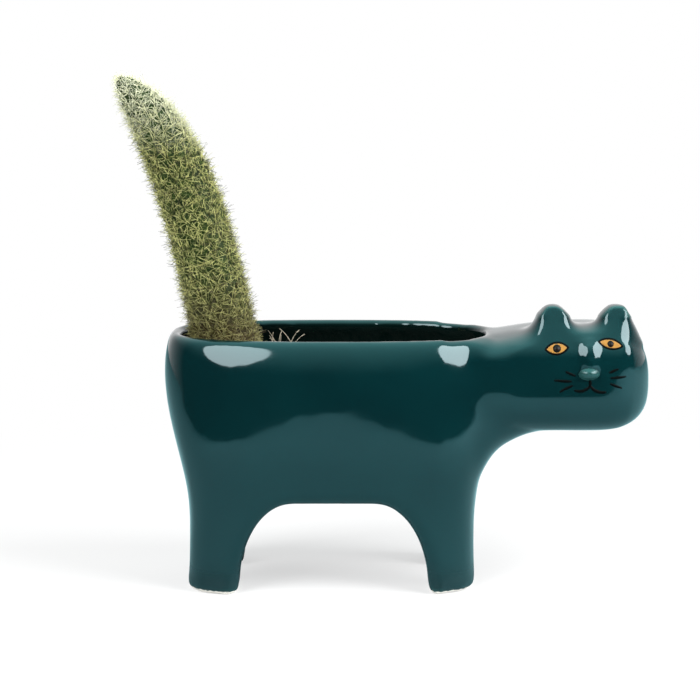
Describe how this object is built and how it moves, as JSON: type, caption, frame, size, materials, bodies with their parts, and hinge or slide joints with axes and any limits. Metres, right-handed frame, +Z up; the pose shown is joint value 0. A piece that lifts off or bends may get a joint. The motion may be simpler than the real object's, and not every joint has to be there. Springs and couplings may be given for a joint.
{
  "type": "cat shaped planter",
  "caption": "Glazed stoneware planter shaped as a standing cat, its open trunk the pot, its head turned aside, planted with a hairy cactus that rises as the tail.",
  "frame": {"origin": "on the floor plane, under the middle of the overall box, with the soles at Z = 0", "axes": "+X towards the head, -Y the cat's right side, which the face looks to, and +Z up"},
  "size_m": [0.1761, 0.067, 0.1676],
  "materials": {
    "glaze": "dark teal green gloss glaze on stoneware, with bare pale clay on the soles",
    "black_enamel": "black overglaze enamel, fired on",
    "brown_enamel": "black-brown overglaze enamel, fired on",
    "yellow_enamel": "yellow ochre overglaze enamel, fired on",
    "screen_mesh": "moulded black mesh",
    "gravel": "fine pumice and grit",
    "soil": "dark peat and bark potting mix",
    "roots": "fibrous roots in soil",
    "cactus_flesh": "olive green living rind, brown and corky at the foot",
    "cactus_spine": "fine straw-coloured hair spines"
  },
  "bodies": {
    "root": {"pot": "glaze", "front_right_leg": "glaze", "front_left_leg": "glaze", "hind_right_leg": "glaze", "hind_left_leg": "glaze", "head": "glaze", "right_ear": "glaze", "left_ear": "glaze", "nose": "glaze", "nose_bridge": "glaze", "right_eye_outline": "black_enamel", "left_eye_outline": "black_enamel", "mouth": "black_enamel", "right_whiskers": "black_enamel", "left_whiskers": "black_enamel", "right_pupil": "brown_enamel", "left_pupil": "brown_enamel", "right_iris": "yellow_enamel", "left_iris": "yellow_enamel", "drain_screen": "screen_mesh", "drainage_gravel": "gravel", "potting_soil": "soil", "root_ball": "roots", "cactus_stem": "cactus_flesh", "cactus_spines": "cactus_spine"}
  },
  "joints": []
}
